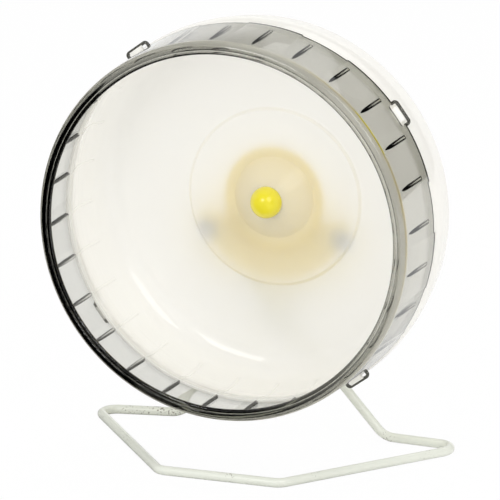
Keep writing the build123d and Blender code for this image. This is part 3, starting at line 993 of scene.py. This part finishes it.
@dataclass
class Drum:
    """The white bowl: skirt, rounded corner, raised middle, cone and rungs.

    `sink` is how deep the rungs, lugs and teeth reach into the wall that carries them.
    """

    shop: Workshop
    plan: WheelPlan
    corner_faces: int = 12
    wall: float = 2.5
    shoulder_gap: float = 0.4
    shoulder_step: float = 0.2
    shoulder_rounding: float = 0.4
    rim_inside: float = 0.7
    rim_outside: float = 1.0
    swell_start: float = 6.0
    belly: float = 1.5
    belly_y: float = 82.0
    belly_rounding: float = 60.0
    back_taper: float = 7.3
    corner: float = 25.0
    back_y: float = 128.5
    step_radius: float = 71.7
    step_rise: float = 2.0
    step_slant: float = 2.2
    step_rounding: float = 1.5
    cone_base: float = 33.6
    cone_tip: float = 13.4
    cone_height: float = 16.5
    tip_rounding: float = 1.2
    hub_hole: float = 10.45
    sink: float = 0.8
    rung_width: float = 2.4
    rung_height: float = 0.5
    rung_rounding: float = 0.4
    rung_faces: int = 5
    rung_front: float = 1.5
    rung_overlap: float = 6.0
    rung_end_share: float = 1.6
    rung_step: float = 4.0
    lug_rounding: float = 0.5
    lug_steps: int = 10
    tooth_width: float = 12.0
    tooth_rise: float = 0.9
    tooth_toe: float = 1.0
    tooth_land: float = 1.6
    tooth_roundings: Triple = (0.4, 0.6, 0.3)
    small_faces: int = 3
    ridge_places: tuple[float, ...] = (63.0, 73.0, 83.0, 93.0)
    ridge_width: float = 4.0
    ridge_height: float = 0.1
    ring_step: float = 0.8

    @property
    def shoulder_y(self) -> float:
        """Depth of the shoulder behind the ring."""
        return self.plan.ring_depth + self.shoulder_gap

    @property
    def belly_radius(self) -> float:
        """Outer radius of the drum at its widest."""
        return self.plan.rear + self.shoulder_step + self.belly

    @property
    def back_slope(self) -> float:
        """How much the side narrows for each millimetre towards the back."""
        return self.back_taper / (self.back_y + self.wall - self.belly_y)

    def skirt(self, y: float) -> float:
        """Outer radius of the skirt inside the ring."""
        return self.plan.band(y) - self.plan.band_wall - self.plan.skirt_gap

    def inside(self, y: float) -> float:
        """Inner radius of the running surface at a depth.

        Args:
            y: Depth, from the rim to where the corner starts.

        Returns:
            The radius: along the skirt, up to the belly, and down to the back.
        """
        start = self.shoulder_y - self.swell_start
        if y <= start:
            return self.skirt(y) - self.wall
        low, top = self.skirt(start) - self.wall, self.belly_radius - self.wall
        rise, fall = (top - low) / (self.belly_y - start), -self.back_slope
        bend = math.atan(rise) - math.atan(fall)
        half = (self.belly_rounding - self.wall) * math.tan(bend / 2)
        past = y - self.belly_y
        if abs(past) >= half:
            return top + past * (rise if past < 0 else fall)
        along = past + half
        return top + rise * past + (fall - rise) * along * along / (4 * half)

    def ridge(self, y: float) -> float:
        """Height of the faint moulding ridges at a depth."""
        gap = min(abs(y - place) for place in self.ridge_places) / (self.ridge_width / 2)
        return self.ridge_height * math.cos(gap * math.pi / 2) ** 2 if gap < 1 else 0.0

    def body(self) -> Mesh:
        """Turn the bowl from its profile.

        Returns:
            The bowl without rungs, lugs and teeth.
        """
        plan, wall, back, slant = self.plan, self.wall, self.back_y, self.step_slant
        disc = back - self.step_rise
        tip_y = disc - self.cone_height
        spread = (self.cone_base - self.cone_tip) / self.cone_height
        behind = spread * wall - wall * math.hypot(1, spread)
        slope = self.back_slope
        back_radius = self.belly_radius - self.back_taper
        back_inside = back_radius + slope * wall - wall * math.hypot(1, slope)
        count = math.ceil((back - self.corner - plan.rim_y) / self.ring_step)
        depths = [plan.rim_y + self.ring_step * index for index in range(1, count)]
        corners = [
            (self.inside(plan.rim_y), plan.rim_y, self.rim_inside),
            *((self.inside(y) - self.ridge(y), y, 0.0) for y in depths),
            (back_inside, back, self.corner - wall),
            (self.step_radius + slant, back, self.step_rounding),
            (self.step_radius, disc, self.step_rounding),
            (self.cone_base, disc, wall / 2),
            (self.cone_tip, tip_y, self.tip_rounding),
            (self.hub_hole, tip_y, 0.0),
            (self.hub_hole, tip_y + wall, 0.0),
            (self.cone_tip + behind, tip_y + wall, 0.0),
            (self.cone_base + behind, disc + wall, 0.0),
            (self.step_radius, disc + wall, 0.0),
            (self.step_radius + slant, back + wall, 0.0),
            (back_radius, back + wall, self.corner),
            (self.belly_radius, self.belly_y, self.belly_rounding),
            (self.belly_radius - self.belly, self.shoulder_y, self.shoulder_rounding),
            (self.skirt(self.shoulder_y), self.shoulder_y, 0.0),
            (self.skirt(plan.rim_y), plan.rim_y, self.rim_outside),
        ]
        return turned(rounded_outline(corners, self.corner_faces), plan.round_steps)

    def rung(self) -> Mesh:
        """Shape one low rung that follows the running surface.

        Returns:
            The rung at angle zero.
        """
        start = self.plan.rim_y + self.rung_front
        end = self.back_y - self.corner + self.rung_overlap
        half = self.rung_width / 2
        low, high = (-self.rung_height, start, -half), (self.sink, end, half)
        mesh = block(low, high, X, Y, self.rung_rounding, self.rung_faces)
        for index in range(1, math.floor((end - start) / self.rung_step)):
            geom = mesh.verts[:] + mesh.edges[:] + mesh.faces[:]
            cut = (0.0, start + self.rung_step * index, 0.0)
            bmesh.ops.bisect_plane(mesh, geom=geom, plane_co=cut, plane_no=AXLE)
        for vert in mesh.verts:
            at_end = vert.co.y > end - self.rung_step / 2
            drop = self.rung_height * self.rung_end_share if at_end else 0.0
            vert.co.x += self.inside(vert.co.y) + drop
        return face_outward(mesh)

    def lug(self) -> Mesh:
        """Shape one lug that fills a notch of the ring.

        Returns:
            The lug at angle zero.
        """
        plan = self.plan
        reach = plan.notch_reach - self.shoulder_gap
        foot = self.skirt(plan.ring_depth) - self.sink
        front = plan.ring_depth - plan.notch_depth + self.shoulder_gap
        rear = self.shoulder_y + self.sink
        corners = [
            (foot, front, 0.0),
            (plan.rear, front, self.lug_rounding),
            (plan.rear, rear, 0.0),
            (foot, rear, 0.0),
        ]
        lug = filled(rounded_outline(corners, self.small_faces))
        angle = 2 * math.atan(reach / plan.rear)
        spin(lug, lug.faces[:], AXLE, -angle, self.lug_steps)
        turn(lug, lug.verts[:], angle / 2, AXLE)
        return face_outward(lug)

    def tooth(self) -> Mesh:
        """Shape one ramped tooth under a snap loop.

        Returns:
            The tooth at angle zero.
        """
        plan = self.plan
        foot = self.skirt(plan.ring_depth) - self.sink
        toe_y = plan.ring_depth - plan.window_depth + self.tooth_toe
        catch_y = plan.ring_depth - plan.loop_thickness - self.shoulder_gap
        crest = plan.rear + plan.loop_rise - plan.loop_thickness + self.tooth_rise
        toe, front, catch = self.tooth_roundings
        corners = [
            (foot, toe_y, 0.0),
            (self.skirt(toe_y) + self.tooth_toe, toe_y, toe),
            (crest, catch_y - self.tooth_land, front),
            (crest, catch_y, catch),
            (foot, catch_y, 0.0),
        ]
        tooth = filled(rounded_outline(corners, self.small_faces))
        grown = bmesh.ops.extrude_face_region(tooth, geom=tooth.faces[:])["geom"]
        move(tooth, only(grown, Vert), (0.0, 0.0, self.tooth_width))
        move(tooth, tooth.verts[:], (0.0, 0.0, -self.tooth_width / 2))
        return face_outward(tooth)

    def make(self) -> None:
        """Build the drum as one closed piece."""
        plan = self.plan
        extras = add_copies(bmesh.new(), self.rung(), plan.rung_angles())
        add_copies(extras, self.lug(), plan.notch_angles())
        add_copies(extras, self.tooth(), plan.clip_angles())
        drum = combined(self.body(), extras, Join.ADD)
        self.shop.piece("white_drum", drum, "drum_white", Body.WHEEL, ["drum"])


@dataclass
class HubCap:
    """The yellow dome over the axle nut."""

    shop: Workshop
    base_y: float = 109.95
    radius: float = 12.8
    skirt: float = 2.0
    wall: float = 1.8
    bore: float = 10.45
    nose_length: float = 5.55
    ledge_share: float = 0.85
    hollow_share: float = 0.8
    edge: float = 0.4
    corner_faces: int = 24
    round_steps: int = 96

    def make(self) -> None:
        """Turn the cap from half an outline."""
        outer, inner = self.radius, self.radius - self.wall
        centre = self.base_y - self.skirt
        shoulder = self.base_y - self.nose_length
        ledge, hollow = inner * self.ledge_share, inner * self.hollow_share
        corners = [
            (0.0, centre - outer, 0.0),
            (outer, centre - outer, outer),
            (outer, self.base_y, self.edge),
            (self.bore, self.base_y, 0.0),
            (self.bore, shoulder, 0.0),
            (ledge, shoulder, 0.0),
            (ledge, centre - hollow, hollow / 2),
            (0.0, centre - hollow, 0.0),
        ]
        outline = rounded_outline(corners, self.corner_faces, closed=False)
        dome = turned(outline, self.round_steps)
        self.shop.piece("hub_cap_dome", dome, "cap_yellow", Body.WHEEL, ["hub_cap"])


@dataclass
class WireStand:
    """The one-piece wire: hooks, crossing legs, feet and floor loop."""

    shop: Workshop
    wire_radius: float = 3.75
    wire_faces: int = 32
    hook: Triple = (57.0, 131.9, -31.0)
    front_leg_y: float = 140.45
    back_leg_y: float = 148.05
    foot_x: float = 90.0
    side: Point = (162.0, 135.0)
    front: Point = (51.0, -2.5)
    hook_bend: float = 7.5
    foot_bend: float = 18.0
    floor_bend: float = 12.0

    def make(self) -> None:
        """Bend the wire."""
        floor = self.wire_radius - AXLE_HEIGHT
        hook_x, hook_y, hook_z = self.hook
        (side_x, side_y), (front_x, front_y) = self.side, self.front
        route = [
            (-hook_x, hook_y, hook_z),
            (-hook_x, self.front_leg_y, hook_z),
            (self.foot_x, self.front_leg_y, floor),
            (side_x, side_y, floor),
            (front_x, front_y, floor),
            (-front_x, front_y, floor),
            (-side_x, side_y, floor),
            (-self.foot_x, self.back_leg_y, floor),
            (hook_x, self.back_leg_y, hook_z),
            (hook_x, hook_y, hook_z),
        ]
        ends = [self.hook_bend, self.foot_bend]
        bends = ends + [self.floor_bend] * 4 + ends[::-1]
        wire = bent_rod(route, bends, self.wire_radius, self.wire_faces)
        self.shop.piece("bent_wire", wire, "coated_wire", Body.STAND, ["stand_wire"])


# The studio


def way_to(azimuth: float, elevation: float) -> Vector:
    """Find a direction from the wheel.

    Args:
        azimuth: Degrees from the wheel's front towards +X.
        elevation: Degrees above the axle.

    Returns:
        The direction, one long.
    """
    across, lift = math.radians(azimuth), math.radians(elevation)
    level = math.cos(lift)
    return Vector((math.sin(across) * level, -math.cos(across) * level, math.sin(lift)))


@dataclass(frozen=True)
class Softbox:
    """A lamp that faces the wheel, with its direction as in way_to and its size in metres."""

    name: str
    azimuth: float
    elevation: float
    width: float
    height: float
    watts: float


@dataclass
class Studio:
    """Camera, floor and lights of a plain product photograph.

    The camera, and every ray that passes through the ring, sees a white room. Mirrored
    rays see a room with `room_levels` at `room_places`, from 0 right away from the
    backdrop to 1 towards it, and a floor that is dark within `dark_reach` of `dark_spot`.
    """

    place: Matrix
    azimuth: float = 20.32
    elevation: float = 14.79
    roll: float = -0.27
    distance: float = 3000.0
    aim: Triple = (26.02, 0.0, -10.22)
    lens: float = 278.66
    sensor: float = 36.0
    clip: Point = (0.1, 50.0)
    lamps: tuple[Softbox, ...] = (
        Softbox("softbox_right", 48.0, 36.0, 0.75, 0.95, 7.5),
        Softbox("softbox_front", -9.0, 30.0, 0.6, 0.6, 5.2),
        Softbox("softbox_left", -75.0, 40.0, 1.0, 1.0, 2.5),
        Softbox("softbox_back", 170.0, 50.0, 1.2, 1.2, 3.0),
    )
    lamp_aim: Triple = (0.0, 60.0, 0.0)
    lamp_distance: float = 1.8
    room_light: float = 0.86
    backdrop: Triple = (-0.2225, 0.966, -0.1315)
    room_places: tuple[float, ...] = (0.0, 0.2, 0.4, 0.9, 0.93, 0.96)
    room_levels: tuple[float, ...] = (0.4, 0.3, 0.0, 0.01, 0.25, 1.0)
    see_through: float = 0.7
    floor_half: float = 6.0
    floor_grey: float = 0.9
    floor_glow: float = 0.96
    dark_spot: Triple = (-6000.0, -3000.0, 0.0)
    dark_reach: Point = (6700.0, 6900.0)

    def camera(self) -> None:
        """Set the camera up at the photograph's angle."""
        azimuth, roll = math.radians(self.azimuth), math.radians(self.roll)
        back = way_to(self.azimuth, self.elevation)
        right = Vector((math.cos(azimuth), math.sin(azimuth), 0.0))
        up = back.cross(right)
        across = right * math.cos(roll) + up * math.sin(roll)
        upright = up * math.cos(roll) - right * math.sin(roll)
        data = bpy.data.cameras.new("camera")
        data.sensor_width = self.sensor
        data.lens = self.lens
        data.dof.use_dof = False
        data.clip_start, data.clip_end = self.clip
        item = show("camera", data)
        spot = self.place @ (Vector(self.aim) + back * self.distance)
        facing = Matrix((across, upright, back)).transposed().to_4x4()
        item.matrix_world = Matrix.Translation(spot) @ facing
        bpy.context.scene.camera = item

    def hang(self, lamp: Softbox) -> None:
        """Hang a softbox so that it faces the wheel.

        Args:
            lamp: The softbox.
        """
        way = way_to(lamp.azimuth, lamp.elevation)
        data = bpy.data.lights.new(lamp.name, "AREA")
        data.shape = "RECTANGLE"
        data.size, data.size_y = lamp.width, lamp.height
        data.energy = lamp.watts
        item = show(lamp.name, data)
        item.location = self.place @ Vector(self.lamp_aim) + way * self.lamp_distance
        item.rotation_mode = "QUATERNION"
        item.rotation_quaternion = way.to_track_quat("Z", "Y")
        item.visible_camera = False

    def room(self) -> None:
        """Surround the scene with the studio's room."""
        world = bpy.data.worlds.new("white_room")
        world.use_nodes = True
        world.node_tree.nodes.clear()
        board = NodeBoard(world.node_tree)
        way = board.add("TexCoord").outputs["Generated"]
        facing = board.vector("DOT_PRODUCT", "Value", way, self.backdrop)
        where = board.span(facing, (-1.0, 1.0))
        graded = board.grey_ramp(where, self.room_places, self.room_levels)
        camera, bent = board.seen_rays()
        view = board.math("MAXIMUM", camera, board.lifted(graded, self.see_through))
        seen = board.math("MAXIMUM", camera, bent)
        levels = {0: seen, VALUE_A: self.room_light, VALUE_B: view}
        strength = board.add("Mix", levels, data_type="FLOAT").outputs[VALUE_OUT]
        light = board.add("Background", {"Color": WHITE, "Strength": strength})
        board.add("OutputWorld", {"Surface": light.outputs["Background"]})
        bpy.context.scene.world = world

    def floor(self) -> None:
        """Lay a pale floor that shows white and keeps a soft shadow."""
        mesh = bmesh.new()
        bmesh.ops.create_grid(mesh, x_segments=1, y_segments=1, size=self.floor_half)
        item = show("studio_floor", mesh_data("studio_floor", mesh))
        material, board = new_material("studio_floor_white")
        grey = self.floor_grey
        paper = board.add("BsdfDiffuse", {"Color": (grey, grey, grey, 1.0)})
        camera, bent = board.seen_rays()
        middle = tuple(value * MM for value in self.dark_spot)
        reach = board.vector("DISTANCE", "Value", board.place(), middle)
        near, far = self.dark_reach
        level = board.lifted(board.span(reach, (near * MM, far * MM)), 1.0)
        share = board.math("MAXIMUM", board.math("MULTIPLY", camera, self.floor_glow), bent)
        glow = board.add("Emission", {"Color": WHITE, "Strength": level})
        board.close(board.mixed(share, paper.outputs["BSDF"], glow.outputs["Emission"]))
        item.data.materials.append(material)

    def make(self) -> None:
        """Set up the whole studio."""
        self.camera()
        self.room()
        self.floor()
        for lamp in self.lamps:
            self.hang(lamp)


def dress_nodes(frame: Mapping[str, Any], finishes: Mapping[str, Material]) -> None:
    """Give the CAD nodes that stay their better materials.

    Args:
        finishes: Material slot with its finish.
    """
    for part in frame["record"]["subparts"]:
        item = frame["nodes"].get(part["node"])
        finish = finishes.get(part["material_slot"])
        if item is None or finish is None:
            continue
        item.data.materials.clear()
        item.data.materials.append(finish)


def main() -> None:
    """Build every assembly around the frame."""
    logging.basicConfig(level=logging.INFO)
    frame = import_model()
    low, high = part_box("front_ring")
    centre = Vector(((low.x + high.x) / 2, low.y, (low.z + high.z) / 2))
    place = Matrix.Translation(centre) @ Matrix.Scale(MM, 4)

    bpy.context.scene.view_settings.view_transform = "Standard"
    Studio(place).make()

    slots = {
        "drum_white": DrumPlastic(),
        "smoke_clear": ClearPlastic(),
        "hub_yellow": MouldedPlastic(
            "moulded_polypropylene_yellow", "FFE95C", "FEE554", roughness=0.45, glow=0.05
        ),
        "cap_yellow": MouldedPlastic(
            "moulded_abs_lemon_yellow", "EFE12A", "E8D91E", roughness=0.28, coat=0.5
        ),
        "coated_wire": PowderCoat(),
        "bearing_steel": Steel("ground_bearing_steel", "B9BABC", 0.25),
        "ball_chrome": Steel("polished_chrome_steel", "DCDDDF", 0.08),
        "cage_nylon": MouldedPlastic("moulded_nylon_natural", "DAD5C2", "D2CCB6", 0.5),
        "shield_steel": Steel("pressed_sheet_steel", "A9AAAD", 0.35),
        "spring_steel": Steel("blued_spring_steel", "B4BDC9", 0.3),
        "zinc_steel": Steel("zinc_plated_steel", "C4C6C8", 0.32),
    }
    finishes = {slot: finish.build() for slot, finish in slots.items()}
    dress_nodes(frame, finishes)

    shop, plan = Workshop(place, finishes), WheelPlan()
    for assembly in (ClearRing(shop, plan), Drum(shop, plan), HubCap(shop), WireStand(shop)):
        assembly.make()


if __name__ == "__main__":
    main()
